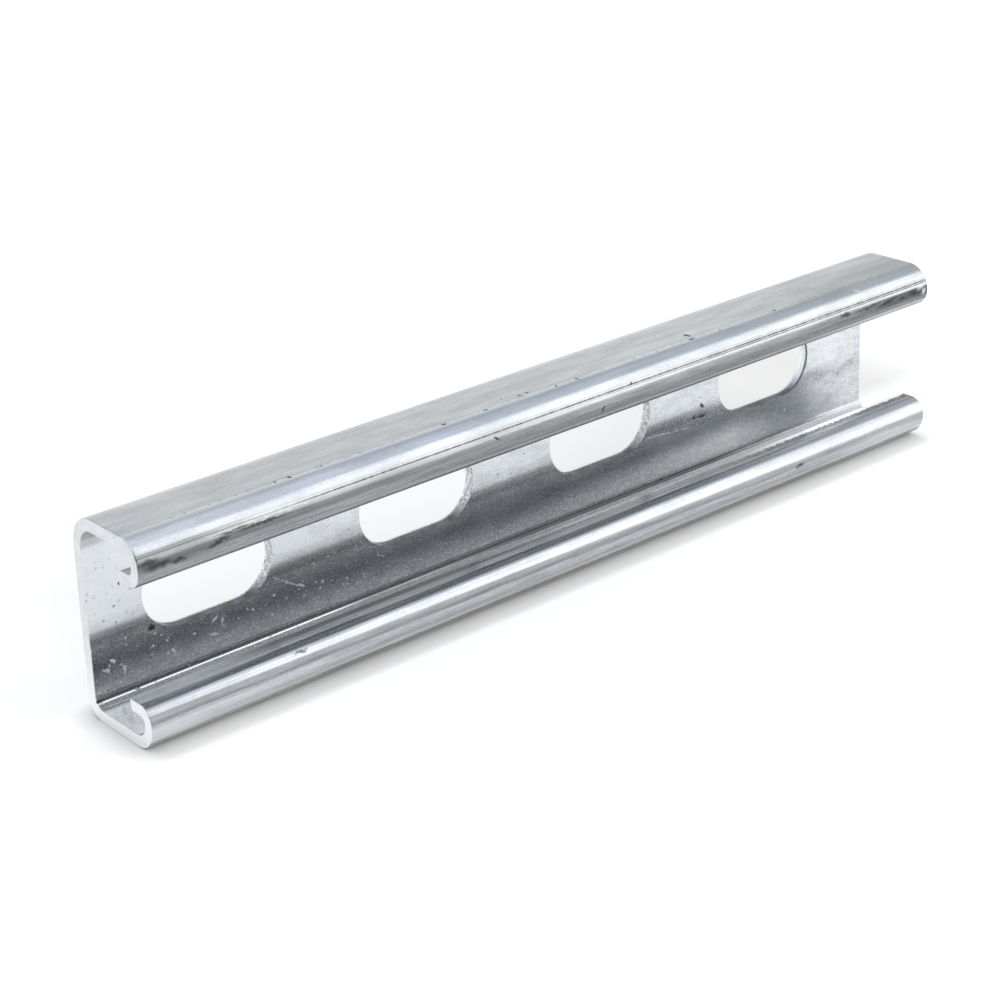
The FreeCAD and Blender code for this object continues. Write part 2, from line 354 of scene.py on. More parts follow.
def on_crease(vert):
    """True if the corner lies on the crease's line, wherever it is along the strip."""
    return math.hypot(vert.co.y - line.y, vert.co.z - line.z) < ON_CREASE


crease_turn = CREASE_STEP / BEND_STEPS * math.pi / 2
for axis_z, upwards in ((HEIGHT - OUTER_FRONT, 1), (OUTER_FRONT, -1)):
    outwards = Vector((0, -math.sin(crease_turn), upwards * math.cos(crease_turn)))
    line = Vector((0, FRONT_AXIS_Y, axis_z)) + outwards * OUTER_FRONT
    open_mesh(strip)
    found = choose(strip, "edges", lambda edge: all(on_crease(vert) for vert in edge.verts))
    bevel(CREASE_WIDTH, 2)
    choose(strip, "verts", on_crease)
    bpy.ops.transform.translate(value=-outwards * CREASE_DEPTH)
    close_mesh()
    print("crease along", found, "edges")

# %% [markdown]
# No real edge is perfectly sharp. The punch drew the sheet in around the slots on the back of the web,
# which leaves a soft rim there and a crisp one inside, the strip's own edges are rounded on the side
# that faces the flange, and a saw leaves a fine broken edge. Each is a bevel on edges chosen by the
# faces that meet there.

# %% Round the rims and edges
CRISP = 0.12 * MM       # the finest rounding, of rims that look sharp
FACING = 0.99           # a face looks along an axis if its normal has more than this much of it
SIDEWAYS = 0.3          # and aside if it has less than this


def meets(edge, first, second):
    """True if one face at the edge passes the first test and the other the second."""
    faces = edge.link_faces
    if len(faces) != 2:
        return False
    one, other = faces
    return (first(one) and second(other)) or (first(other) and second(one))


def on_saw_cut(face):
    return abs(face.normal.x) > FACING and abs(face.calc_center_median().x) > LENGTH / 2 - 2 * CUT_SLANT


def off_saw_cut(face):
    return not on_saw_cut(face)


def slot_wall(face):
    centre = face.calc_center_median()
    in_web = DEPTH / 2 - SHEET - NEAR < centre.y < DEPTH / 2 - NEAR
    at_slots = abs(centre.z - SLOT_HEIGHT) < SLOT_RADIUS + 2 * NEAR
    return in_web and at_slots and abs(face.normal.y) < SIDEWAYS and not on_saw_cut(face)


def web_back(face):
    return face.normal.y > FACING and abs(face.calc_center_median().y - DEPTH / 2) < NEAR


def web_inside(face):
    return face.normal.y < -FACING and abs(face.calc_center_median().y - DEPTH / 2 + SHEET) < NEAR


def flange_side(edge):
    """True for the corner of the strip's edge that faces its own flange."""
    levels = (lower_end[1] - SHEET / 2, upper_end[1] + SHEET / 2)
    return any(on_line(edge, y=upper_end[0], z=level) for level in levels)


def round_edges(piece, chosen_by, radius, steps):
    """Bevels the edges that the test chooses and says how many there were."""
    open_mesh(piece)
    count = choose(piece, "edges", chosen_by)
    bevel(radius, steps)
    close_mesh()
    return count


print("back rims of the slots:",
      round_edges(strip, lambda edge: meets(edge, slot_wall, web_back), SLOT_ROLLOVER, 4))
print("inner rims of the slots:",
      round_edges(strip, lambda edge: meets(edge, slot_wall, web_inside), CRISP, 2))
print("the strip's edges:", round_edges(strip, flange_side, EDGE_ROUND, 5))
print("sawn edges:", round_edges(strip, lambda edge: meets(edge, on_saw_cut, off_saw_cut), CRISP, 2))

# %% [markdown]
# A saw never leaves a perfectly straight rim: the metal tears a little, and the torn rim glints. So the
# corners that lie on either cut are moved at random by a few hundredths of a millimetre, from a fixed
# seed. Last, the mesh is checked: every edge has two faces, and a volume above zero says that the faces
# point outwards.

# %% Break the sawn rims and check the mesh
BURR = 0.03 * MM
ON_CUT = 0.02 * MM          # a corner this near a saw cut lies on it
SMOOTH_UP_TO = math.radians(35)


def cut_corner(vert):
    lean = vert.co.z * CUT_SLANT / HEIGHT
    return (abs(vert.co.x) > LENGTH / 2 - CUT_INSET - ON_CUT
            or abs(vert.co.x + LENGTH / 2 - CUT_INSET - lean) < ON_CUT)


open_mesh(strip)
print(choose(strip, "verts", cut_corner), "corners on the saw cuts")
bpy.ops.transform.vertex_random(offset=BURR, uniform=0.0, normal=0.0, seed=7)
close_mesh()
form = bmesh.new()
form.from_mesh(strip.data)
open_edges = sum(not edge.is_manifold for edge in form.edges)
volume = form.calc_volume()
form.free()
print(f"{len(strip.data.polygons)} faces, {open_edges} open edges, {volume * 1e6:.2f} cm3")

take(strip)
bpy.ops.object.shade_smooth_by_angle(angle=SMOOTH_UP_TO)
apply(strip, "WEIGHTED_NORMAL", "flat_faces_stay_flat", keep_sharp=True, weight=80)

# %% [markdown]
# Rolling draws a strip's surface out into marks that follow the section round its bends, so the finish
# needs a map that does too. A point's place on the strip as it was before rolling is its distance along
# the channel, and its distance round the section from the middle of the web, upwards positive. Both go
# into a UV map, in millimetres, and every pattern below is drawn on that flat strip.

# %% Map the strip as it was before rolling
TRAIL_STEP = 0.02 * MM


def trail(turn, section):
    """Places along the middle of the sheet: across, height, heading, how far from the web's middle, turn."""
    y, z, heading, far, places = WEB_Y, HEIGHT / 2, turn * math.pi / 2, 0.0, []
    for kind, size, _ in section:
        length = size * math.pi / 2 if kind == "bend" else size
        steps = round(length / TRAIL_STEP)
        bend = turn * math.pi / 2 / steps if kind == "bend" else 0.0
        for _ in range(steps):
            heading += bend / 2
            y += math.cos(heading) * length / steps
            z += math.sin(heading) * length / steps
            heading += bend / 2
            far += length / steps
            places.append((y, z, heading, far, turn))
    return places


upper_web = ("flat", WEB_HEAD - HEIGHT / 2, 1)
lower_web = ("flat", HEIGHT / 2 - WEB_FOOT, 1)
trails = trail(1, [upper_web] + upper_section) + trail(-1, [lower_web] + lower_section)
finder = KDTree(len(trails))
for number, (y, z, _, _, _) in enumerate(trails):
    finder.insert((0, y, z), number)
finder.balance()


def on_strip(point):
    """How far round the section a point lies, in millimetres, and how far outside the sheet's middle."""
    y, z, heading, far, turn = trails[finder.find((0, point.y, point.z))[1]]
    outside = turn * ((point.y - y) * math.sin(heading) - (point.z - z) * math.cos(heading))
    return turn * far / MM, outside


rounds = [on_strip(vert.co)[0] for vert in strip.data.vertices]
strip_map = strip.data.uv_layers.new(name="strip")
for loop in strip.data.loops:
    place = strip.data.vertices[loop.vertex_index].co
    strip_map.data[loop.index].uv = (place.x / MM, rounds[loop.vertex_index])
REACH = [round(end, 2) for end in (min(rounds), max(rounds))]
print("the flat strip runs from", REACH[0], "to", REACH[1], "mm round the section")

# %% [markdown]
# The real strip has four kinds of surface, and each gets its own finish: the skin that ran on the
# rollers, the skin inside, the sawn ends, and what the punch and the slitting shear cut. The skins lie
# half a sheet from the sheet's middle and the cut walls lie nearer, so a face's distance from the middle
# tells them apart. The broken rims inside the slots are cut metal as well.

# %% Tell the four kinds of surface apart
KINDS = ("outside", "inside", "sawn", "punched")
WALL_REACH = 1.0 * MM       # a face nearer the sheet's middle than this is a cut wall
TIP = 0.3                   # and so is one this near the strip's edge, in millimetres round the section
RIM_TURN = 0.98             # a rim's face has less of the web's normal than this


def slot_rim(face):
    """True for a narrow face between the web and the wall of a slot."""
    at_slots = abs(face.center.z - SLOT_HEIGHT) < SLOT_RADIUS + 2 * CRISP
    off_ends = abs(face.center.x) < LENGTH / 2 - SHEET
    in_web = face.center.y > DEPTH / 2 - SHEET - NEAR
    return at_slots and off_ends and in_web and abs(face.normal.y) < RIM_TURN


def kind_of(face):
    far, outside = on_strip(face.center)
    tip = min(far - REACH[0], REACH[1] - far) < TIP
    if abs(face.normal.x) > FACING and abs(face.center.x) > LENGTH / 2 - 2 * CUT_SLANT:
        return "sawn"
    if abs(outside) < WALL_REACH or tip or (outside < 0 and slot_rim(face)):
        return "punched"
    return "outside" if outside > 0 else "inside"


kinds = [kind_of(face) for face in strip.data.polygons]
print({kind: kinds.count(kind) for kind in KINDS})

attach(strip, "root")
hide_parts(NODE)

# %% [markdown]
# A finish is a tree of nodes, and each node is added, set and linked in the same few ways, so these are
# written once as small functions. With them, a finish reads as a list of what lies over what.

# %% Helpers that add nodes
def put(tree, kind, inputs=None, **settings):
    """Adds a node, sets it, and links or fills its inputs."""
    node = tree.nodes.new("ShaderNode" + kind)
    for name, value in settings.items():
        setattr(node, name, value)
    for name, value in (inputs or {}).items():
        if isinstance(value, bpy.types.NodeSocket):
            tree.links.new(value, node.inputs[name])
        else:
            node.inputs[name].default_value = value
    return node


def maths(tree, operation, first, second=0.0, third=0.0):
    return put(tree, "Math", {0: first, 1: second, 2: third}, operation=operation).outputs[0]


def times(tree, first, *others):
    for other in others:
        first = maths(tree, "MULTIPLY", first, other)
    return first


def total(tree, *parts, start=0.0):
    """A sum of values, each with its weight."""
    for value, weight in parts:
        start = maths(tree, "MULTIPLY_ADD", value, weight, start)
    return start


def either(tree, first, *others):
    """The highest of some masks."""
    for other in others:
        first = maths(tree, "MAXIMUM", first, other)
    return first


def spread(tree, value, low, high, new_low=0.0, new_high=1.0):
    """Stretches a value from one range to another, and stops at its ends."""
    inputs = {"Value": value, "From Min": low, "From Max": high, "To Min": new_low, "To Max": new_high}
    return put(tree, "MapRange", inputs).outputs["Result"]


def tint(tree, share, first, second):
    """A mix of two colours. A colour mix is the node's third kind, so its sockets are found by number."""
    return put(tree, "Mix", {0: share, 6: first, 7: second}, data_type="RGBA").outputs[2]


def grey(level, blue=0.0):
    """A colour of even brightness, a little bluer or browner if asked."""
    return (level * (1 - blue), level, level * (1 + blue), 1)


def paint(tree, colour, share, level, blue=0.0):
    """The colour so far with a grey laid over it, as thickly as the share says."""
    return tint(tree, share, colour, grey(level, blue))


def greys(tree, share, dark, pale):
    """A mix of two greys, each given as brightness and blueness."""
    return tint(tree, share, grey(*dark), grey(*pale))


# %% [markdown]
# The patterns repeat as well. Grain is noise of a given length and width, and drawn out far enough it
# makes lines along the strip. A band is a stretch of the section. A mark is one dent, pit or scratch: an
# oval placed on the flat strip, and drawn on shaken places, so that its outline is ragged as a
# real one's is.

# %% Helpers that draw patterns
def start_finish(name, metallic, roughness):
    """A material with its node tree and its shader."""
    finish = bpy.data.materials.new(name)
    finish.use_nodes = True
    shader = finish.node_tree.nodes["Principled BSDF"]
    shader.inputs["Metallic"].default_value = metallic
    shader.inputs["Roughness"].default_value = roughness
    return finish, finish.node_tree, shader


def strip_places(tree):
    """The place on the flat strip, and its two parts: along the strip, and how far round the section."""
    flat = put(tree, "UVMap", uv_map="strip").outputs["UV"]
    parts = put(tree, "SeparateXYZ", {0: flat}).outputs
    return flat, parts["X"], parts["Y"]


def grain(tree, place, length, width, detail=3.0, seed=0.0, rough=0.55):
    """Noise whose features are about so long and so wide, between 0 and 1."""
    spot = put(tree, "Mapping", {"Vector": place, "Location": (seed, seed / 2, 0),
                                 "Scale": (1 / length, 1 / width, 1 / width)})
    return put(tree, "TexNoise", {"Vector": spot.outputs[0], "Scale": 1.0, "Detail": detail,
                                  "Roughness": rough}).outputs[0]


def shaken(tree, place, size, amount):
    """The same places moved a little by noise, so that what is drawn on them gets a ragged outline."""
    noise = put(tree, "TexNoise", {"Vector": place, "Scale": 1 / size, "Detail": 3.0}).outputs["Color"]
    away = put(tree, "VectorMath", {0: noise, 1: (0.5, 0.5, 0.5)}, operation="SUBTRACT").outputs[0]
    moved = {0: away, 1: (amount, amount, amount), 2: place}
    return put(tree, "VectorMath", moved, operation="MULTIPLY_ADD").outputs[0]


def band(tree, far, low, high, soft):
    """1 between two places round the section, falling to 0 over the soft distance."""
    away = maths(tree, "ABSOLUTE", maths(tree, "SUBTRACT", far, (low + high) / 2))
    return spread(tree, away, (high - low) / 2, (high - low) / 2 + soft, 1.0, 0.0)


def mark(tree, place, along, far, length, width, turn=0.0):
    """One oval mark: 1 at its middle and 0 at its edge."""
    inputs = {"Vector": place, "Location": (along, far, 0), "Rotation": (0, 0, math.radians(turn)),
              "Scale": (length / 2, width / 2, 1)}
    spot = put(tree, "Mapping", inputs, vector_type="TEXTURE").outputs[0]
    return put(tree, "TexGradient", {"Vector": spot}, gradient_type="SPHERICAL").outputs[1]


def marks(tree, place, ovals, solid):
    """All the marks of a list together, solid in the middle and fading towards their outlines."""
    return spread(tree, either(tree, *[mark(tree, place, *oval) for oval in ovals]), 0.0, solid)


def specks(tree, place, apart, size, share, seed):
    """Scattered crumbs or pits: cells so far apart, of which a share holds one."""
    spot = put(tree, "Mapping", {"Vector": place, "Location": (seed, seed, seed),
                                 "Scale": (1 / apart, 1 / apart, 1 / apart)})
    cell = put(tree, "TexVoronoi", {"Vector": spot.outputs[0], "Scale": 1.0})
    luck = put(tree, "SeparateXYZ", {0: cell.outputs["Color"]}).outputs["X"]
    near = spread(tree, cell.outputs["Distance"], 0.3 * size / apart, 0.5 * size / apart, 1.0, 0.0)
    return times(tree, near, maths(tree, "LESS_THAN", luck, share))


def raise_by(tree, shader, *layers):
    """Raises the surface by patterns laid over each other, each with its full height in millimetres."""
    bump = put(tree, "Bump", {"Height": total(tree, *layers), "Distance": MM, "Strength": 1.0})
    tree.links.new(bump.outputs["Normal"], shader.inputs["Normal"])


def seen(tree):
    """1 for rays from the camera, in a mirror or through glass, and 0 for light that only falls on things."""
    ray = put(tree, "LightPath").outputs
    return either(tree, ray["Is Camera Ray"], ray["Is Glossy Ray"], ray["Is Transmission Ray"])


# %% [markdown]
# Outside, the zinc is burnished by the rollers into a satin grey with fine lines along the strip. Noises
# of several lengths and widths are added up, and the sum picks between two greys. A pale brim is painted
# where the upper flange starts to bend, a painted highlight that fades along the strip, and the flange is
# painted darker towards the far end, painted shade for its dimmer reflection there.
#
# In all the finishes, places along the strip and round the section are in millimetres. Round the
# section, 0 is the web's middle and upwards is positive. The upper flange lies from 22 to 32, the front
# bend to 39, the lip's bend to 43 and the strip's edge at 46. The lower half has the same parts, with
# a minus sign and up to a millimetre off.

# %% Burnish the outside
outside, tree, shader = start_finish("rolled_zinc_outside", 1.0, 0.24)
flat, along, far = strip_places(tree)
lines = grain(tree, flat, 45.0, 0.22, 3.0)
hairs = grain(tree, flat, 30.0, 0.1, 3.0, seed=12.0, rough=0.7)
clouds = grain(tree, flat, 14.0, 3.0, 2.0, seed=5.0)
streaks = grain(tree, flat, 11.0, 0.45, 4.0, seed=9.0, rough=0.7)
mottle = grain(tree, flat, 1.6, 0.7, 3.0, seed=3.0, rough=0.65)
zinc = grain(tree, flat, 0.7, 0.4, 2.0, seed=15.0, rough=0.8)
rugged = shaken(tree, flat, 0.9, 1.0)

tone = total(tree, (lines, 1.0), (clouds, 1.0), (mottle, 0.4), (zinc, 0.5), (hairs, 0.4))
tone = spread(tree, tone, 1.4, 1.95)
colour = greys(tree, tone, (0.48, 0.035), (0.64, 0.025))
# Painted shade: the flange darkens towards the far end, where its reflection is dimmer.
far_end_shade = times(tree, spread(tree, along, 45.0, 104.0, 0.0, 0.8), spread(tree, far, 24.0, 29.0, 0.3, 1.0),
                spread(tree, far, 32.5, 34.0, 1.0, 0.0))
colour = paint(tree, colour, far_end_shade, 0.31, 0.04)
# Painted highlight: a pale brim where the flange starts to bend, fading along the strip.
brim_highlight = times(tree, band(tree, far, 32.5, 33.15, 0.25), spread(tree, along, 35.0, 80.0, 0.5, 0.05))
colour = paint(tree, colour, brim_highlight, 0.95, 0.03)

# %% [markdown]
# Over the front the metal slid on the rollers and is scuffed in streaks. The lip is painted dark there,
# partly painted shade for the dark reflection of what lies in front of it and partly the scuffs: the
# streaks pick between two greys here too, and that pair is darker in the middle and darkest at the ends.
# The front bend is painted darker over its near half, painted shade that dims its highlight, and the
# lip's own bend gets one narrow painted highlight with painted shade beside it.

# %% Scuff and shade the upper lip
patchy = spread(tree, total(tree, (streaks, 1.0), (hairs, 0.8), (zinc, 0.4)), 0.9, 1.3)
upper = band(tree, far, 37.95, 43.0, 0.3)
middling = times(tree, band(tree, far, 38.95, 43.0, 0.15), spread(tree, along, -60.0, -20.0))
at_ends = times(tree, band(tree, far, 37.8, 39.2, 0.5),
                either(tree, spread(tree, along, -40.0, -85.0, 0.0, 0.4), spread(tree, along, 62.0, 95.0)))
# Partly painted shade: the lip is darker than the zinc above, for the dark reflection in front of it.
scuff_and_shade = greys(tree, patchy, (0.26, 0.03), (0.46, 0.035))
scuff_and_shade = tint(tree, middling, scuff_and_shade, greys(tree, patchy, (0.18, 0.02), (0.32, 0.025)))
scuff_and_shade = tint(tree, at_ends, scuff_and_shade, greys(tree, patchy, (0.07, 0.01), (0.20, 0.025)))
colour = tint(tree, upper, colour, scuff_and_shade)
# Painted shade that dims the front bend's highlight at the near end and over the near half.
end_shade = times(tree, band(tree, far, 36.6, 37.8, 0.3), spread(tree, along, -78.0, -90.0, 0.0, 0.6))
half_shade = times(tree, band(tree, far, 37.4, 38.6, 0.4), spread(tree, along, 0.0, -40.0, 0.22, 0.52))
colour = paint(tree, colour, either(tree, end_shade, half_shade), 0.10, 0.03)
# Painted highlight: one narrow pale line along the lip's bend.
bend_highlight = times(tree, band(tree, far, 40.3, 40.7, 0.2), 0.7)
colour = paint(tree, colour, bend_highlight, 0.62, 0.03)
from_middle = maths(tree, "ABSOLUTE", along)
# Painted shade beside it, strongest in the middle of the strip.
bend_shade = times(tree, band(tree, far, 41.1, 42.4, 0.3), spread(tree, from_middle, 90.0, 30.0, 0.1, 0.5))
colour = paint(tree, colour, bend_shade, 0.06, 0.02)

# %% [markdown]
# The lower lip is scuffed more evenly, and painted darker, partly painted shade for the dim reflection in
# front of it, with a dark track where a roller's edge ran. The track drifts as it goes along, so its band
# is drawn on places that are tilted a little. Its rounded underside and its near end get painted
# highlights.

# %% Scuff and shade the lower lip
tilted = maths(tree, "MULTIPLY_ADD", along, -0.0045, far)
lower = band(tree, tilted, -40.75, -36.5, 0.3)
# Partly painted shade: the lip's front is painted darker than the zinc above.
colour = tint(tree, lower, colour, greys(tree, patchy, (0.36, 0.03), (0.64, 0.035)))
# Painted highlight: a pale strip along the lip's rounded underside.
underside_highlight = times(tree, band(tree, far, -37.9, -35.0, 0.4), 0.3)
colour = paint(tree, colour, underside_highlight, 0.98, 0.03)
track = times(tree, band(tree, tilted, -40.85, -39.95, 0.25), spread(tree, along, 80.0, -20.0, 0.3, 0.6))
colour = paint(tree, colour, track, 0.12, 0.03)
# Painted highlight near the near end.
near_lit = times(tree, spread(tree, along, -55.0, -85.0, 0.0, 0.35), band(tree, far, -39.7, -36.0, 0.3))
colour = paint(tree, colour, near_lit, 0.90, 0.02)

# %% [markdown]
# On top of the lower lip, the sheet turns back towards the web and ends. It is darker there: painted
# shade for the dark inside of the channel that it mirrors, with mottled dirt towards the far end. Its
# rim is nicked and dotted along the middle, and a painted highlight runs along it at the far end. Noise
# along the strip is added to the place round the section, so that the border between the dark and the
# bright metal is ragged.

# %% Darken and nick the lower lip's top
# Painted shade over the top of the lower lip, where it mirrors the dark inside of the channel.
shaded = times(tree, band(tree, far, -43.9, -43.3, 0.35), spread(tree, along, -104.0, -60.0, 0.1, 0.55))
edge_flat = times(tree, band(tree, far, -47.0, -44.2, 0.4), spread(tree, along, -92.0, -75.0, 0.3, 0.72))
edge_shade = greys(tree, patchy, (0.12, 0.03), (0.22, 0.03))
colour = tint(tree, either(tree, shaded, edge_flat), colour, edge_shade)
edge_rim = times(tree, band(tree, far, -47.0, -45.5, 0.4), spread(tree, along, -85.0, -68.0, 0.0, 0.75),
                 spread(tree, along, 10.0, -20.0))
colour = paint(tree, colour, edge_rim, 0.05, 0.03)
teeth = spread(tree, grain(tree, flat, 0.6, 20.0, 2.0, seed=23.0), 0.35, 0.65, -0.3, 0.3)
ragged = maths(tree, "ADD", far, teeth)
# Partly painted shade, partly mottled dirt, towards the far end.
far_edge = times(tree, band(tree, far, -46.0, -44.2, 0.3), spread(tree, along, 20.0, 60.0, 0.0, 0.8))
far_dirt_and_shade = greys(tree, spread(tree, mottle, 0.35, 0.6), (0.02, 0.02), (0.26, 0.03))
colour = tint(tree, far_edge, colour, far_dirt_and_shade)
# Painted highlight along the rim at the far end.
rim_lit = times(tree, spread(tree, ragged, -45.6, -45.75), spread(tree, along, 45.0, 68.0))
colour = paint(tree, colour, rim_lit, 0.98, 0.03)
nicks = times(tree, spread(tree, ragged, -46.15, -46.3), spread(tree, along, -35.0, 0.0, 0.0, 0.9),
              spread(tree, along, 55.0, 40.0))
colour = paint(tree, colour, nicks, 0.5, 0.03)

# %% [markdown]
# Single marks come last, over everything else. Each is written as its place along the strip, place round
# the section, length, width and turn, in millimetres and degrees. Pits are dark and sunk, scuffs are
# dirty streaks, and where the zinc is bared it is bright and no longer quite metal. The two long bright
# patches on the lower lip, near its ends, are partly bared zinc and partly painted highlight. The roller's
# crease is painted dark, painted shade in the groove with some dirt, and a row of short dashes runs
# beside the upper bend, where a roller's edge chattered.

# %% Mark the outside
PITS = [(-11.5, 31.4, 0.6, 1.1), (-9.3, 31.4, 0.6, 1.1), (-15.2, 30.2, 0.4, 0.6), (-3.0, 32.7, 0.6, 0.8),
        (2.7, 32.8, 0.8, 1.1), (35.7, 30.7, 1.0, 2.3), (34.8, 32.8, 2.3, 0.6, 10), (24.8, 32.7, 0.5, 0.6),
        (60.0, 32.7, 0.6, 0.9), (43.0, 32.9, 0.7, 0.6), (-60.2, 32.3, 0.5, 1.0), (-67.4, 32.2, 1.0, 1.1),
        (-70.7, 32.2, 0.6, 0.9), (-31.5, 32.5, 1.2, 0.8), (-21.0, 32.6, 1.2, 0.6), (5.2, 39.2, 1.6, 0.5, -60),
        (-22.5, 37.9, 1.8, 0.3, 25), (13.4, 36.8, 0.8, 0.5)]
SCUFFS = [(77.3, 38.1, 4.4, 1.1), (84.5, 38.2, 11.0, 0.45, -3), (91.0, 38.5, 8.0, 0.8, -8),
          (96.3, 38.8, 2.6, 0.9), (100.5, 38.4, 6.0, 1.6), (-101.5, 37.9, 6.0, 1.4), (-99.5, 38.6, 8.0, 1.4),
          (-95.5, 38.9, 5.0, 0.9), (-87.0, 38.4, 7.0, 0.9, -10), (-77.5, 37.9, 16.0, 0.6),
          (-83.5, 37.6, 10.0, 0.4), (63.0, -39.7, 3.6, 0.9), (-71.0, -41.9, 4.0, 0.7)]
BARED_AND_LIT = [(83.3, 34.7, 2.6, 0.5, 20), (-80.0, 37.3, 3.4, 0.35, 5), (-76.5, 37.4, 2.8, 0.3, -8),
         (-72.5, 37.3, 4.4, 0.4, 4), (-68.0, 37.3, 2.8, 0.35), (102.5, 37.6, 3.6, 1.8, -20),
         (103.4, 38.8, 1.6, 1.4), (-99.5, -38.3, 17.0, 3.2), (92.0, -37.4, 46.0, 6.0)]

dirty = times(tree, marks(tree, rugged, SCUFFS, 0.6), spread(tree, streaks, 0.3, 0.5, 0.6, 1.0))
colour = paint(tree, colour, times(tree, dirty, 0.85), 0.04)
# Bared zinc, and in the two long patches on the lower lip partly painted highlight.
bared_and_lit = times(tree, marks(tree, rugged, BARED_AND_LIT, 0.8), spread(tree, streaks, 0.3, 0.5, 0.4, 0.95))
colour = paint(tree, colour, bared_and_lit, 0.80, 0.03)
from_web = maths(tree, "ABSOLUTE", far)
# Painted shade in the roller's crease, broken up like dirt.
in_crease = band(tree, from_web, 36.94, 37.04, 0.14)
by_crease = times(tree, band(tree, from_web, 36.6, 37.15, 0.3), 0.34)
second_line = times(tree, band(tree, far, 37.26, 37.34, 0.12), spread(tree, along, -20.0, 40.0, 0.0, 0.9))
broken = spread(tree, grain(tree, flat, 1.2, 9.0, 2.0, seed=7.0), 0.3, 0.6, 0.7, 1.0)
crease_shade_and_dirt = times(tree, either(tree, in_crease, by_crease, second_line), broken,
                    spread(tree, along, -72.0, -62.0, 0.55, 1.0))
colour = paint(tree, colour, crease_shade_and_dirt, 0.08, -0.05)
row = band(tree, maths(tree, "MULTIPLY_ADD", along, -0.004, far), 32.45, 32.7, 0.25)
chatter = spread(tree, grain(tree, flat, 0.8, 20.0, 3.0, seed=2.0, rough=0.8), 0.5, 0.64)
pitted = either(tree, marks(tree, rugged, PITS, 0.5), times(tree, row, chatter, 0.38))
colour = paint(tree, colour, pitted, 0.06, 0.05)
tree.links.new(colour, shader.inputs["Base Color"])
print(len(PITS), "pits,", len(SCUFFS), "scuffs and", len(BARED_AND_LIT), "bared spots outside")

# %% [markdown]
# The same masks now set how the outside shines: pale zinc is the smoothest, and scuffs, bared spots and
# pits are rougher in turn. Bump makes the noises stand up and the pits lie deeper, by a few hundredths of
# a millimetre.

# %% Shine and relief of the outside
scuffed = either(tree, upper, lower)
rough = total(tree, (tone, -0.09), (scuffed, 0.14), (bared_and_lit, 0.2), (pitted, 0.25), start=0.29)
tree.links.new(rough, shader.inputs["Roughness"])
tree.links.new(maths(tree, "MULTIPLY_ADD", bared_and_lit, -0.6, 1.0), shader.inputs["Metallic"])
raise_by(tree, shader, (clouds, 0.03), (lines, 0.006), (zinc, 0.004), (times(tree, mottle, scuffed), 0.012),
         (pitted, -0.06))
print(outside.name, "is between 0.20 and 0.88 rough")

# %% [markdown]
# Inside, only the zinc bath shaped the surface, so it is paler and finely grained, with clumps of
# coarser grain. The upper part of the web is the calmest, a darker brow crosses it below, and the lips
# and the lower flange are duller. Stains, smoke from the saw and small pits are masks, as outside.

# %% Grain and stain the inside
STAINS = [(-91.3, -6.5, 2.1, 1.7), (52.3, -3.2, 2.0, 1.0, -50), (49.8, -5.5, 1.4, 1.1),
          (52.0, -5.6, 3.2, 1.0, -5), (-98.5, 0.5, 0.6, 0.5), (-97.0, 4.5, 0.5, 0.6)]
SMOKES = [(100.5, -6.3, 6.0, 2.6), (97.0, -7.6, 7.0, 2.6), (91.5, -6.8, 8.0, 2.4), (52.0, -5.2, 6.0, 2.2)]

inside, tree, shader = start_finish("grained_zinc_inside", 1.0, 0.3)
flat, along, far = strip_places(tree)
fine = grain(tree, flat, 0.6, 0.45, 2.0, rough=0.8)
clumps = grain(tree, flat, 2.2, 1.2, 3.0, seed=14.0, rough=0.6)
clouds = grain(tree, flat, 9.0, 4.0, 2.0, seed=4.0)
lines = grain(tree, flat, 60.0, 0.3, 3.0, seed=6.0)
soot = grain(tree, flat, 0.8, 0.7, 3.0, seed=21.0)
rugged = shaken(tree, flat, 0.4, 0.9)

tone = spread(tree, total(tree, (fine, 1.6), (clumps, 0.7), (clouds, 1.0)), 1.3, 2.0)
colour = greys(tree, tone, (0.52, 0.035), (0.90, 0.025))
calm = times(tree, spread(tree, far, -7.0, -2.0), spread(tree, along, -50.0, -75.0, 0.3, 0.8))
colour = paint(tree, colour, calm, 0.74, 0.03)
from_web = maths(tree, "ABSOLUTE", far)
duller = either(tree, spread(tree, far, -21.0, -24.0, 0.0, 0.3),
                spread(tree, from_web, 33.5, 36.0, 0.0, 0.55))
colour = paint(tree, colour, duller, 0.33, 0.035)
brow = times(tree, band(tree, far, -5.2, -3.9, 1.0), spread(tree, along, 40.0, 75.0, 0.5, 0.0))
colour = paint(tree, colour, brow, 0.10, 0.02)
smoke = times(tree, marks(tree, rugged, SMOKES, 1.0), spread(tree, soot, 0.42, 0.62))
pits = specks(tree, rugged, 1.9, 0.6, 0.35, 11.0)
stained = either(tree, marks(tree, rugged, STAINS, 0.4), times(tree, pits, 0.6), times(tree, smoke, 0.75))
colour = paint(tree, colour, stained, 0.10, 0.02)
print(len(STAINS), "stains and", len(SMOKES), "smoke marks inside")

# %% [markdown]
# Low on the web, along its foot and on the upper half's sawn near end, the zinc is painted pale: painted
# light, strongest towards the far end, where light comes in through the channel's open end, and near the
# saw. It is drawn as a share of the surface that is no metal, so it stays pale where clean zinc mirrors
# the shade. Single pale grains are strewn over the rest of the lower web, which is also painted a little
# darker: painted shade.

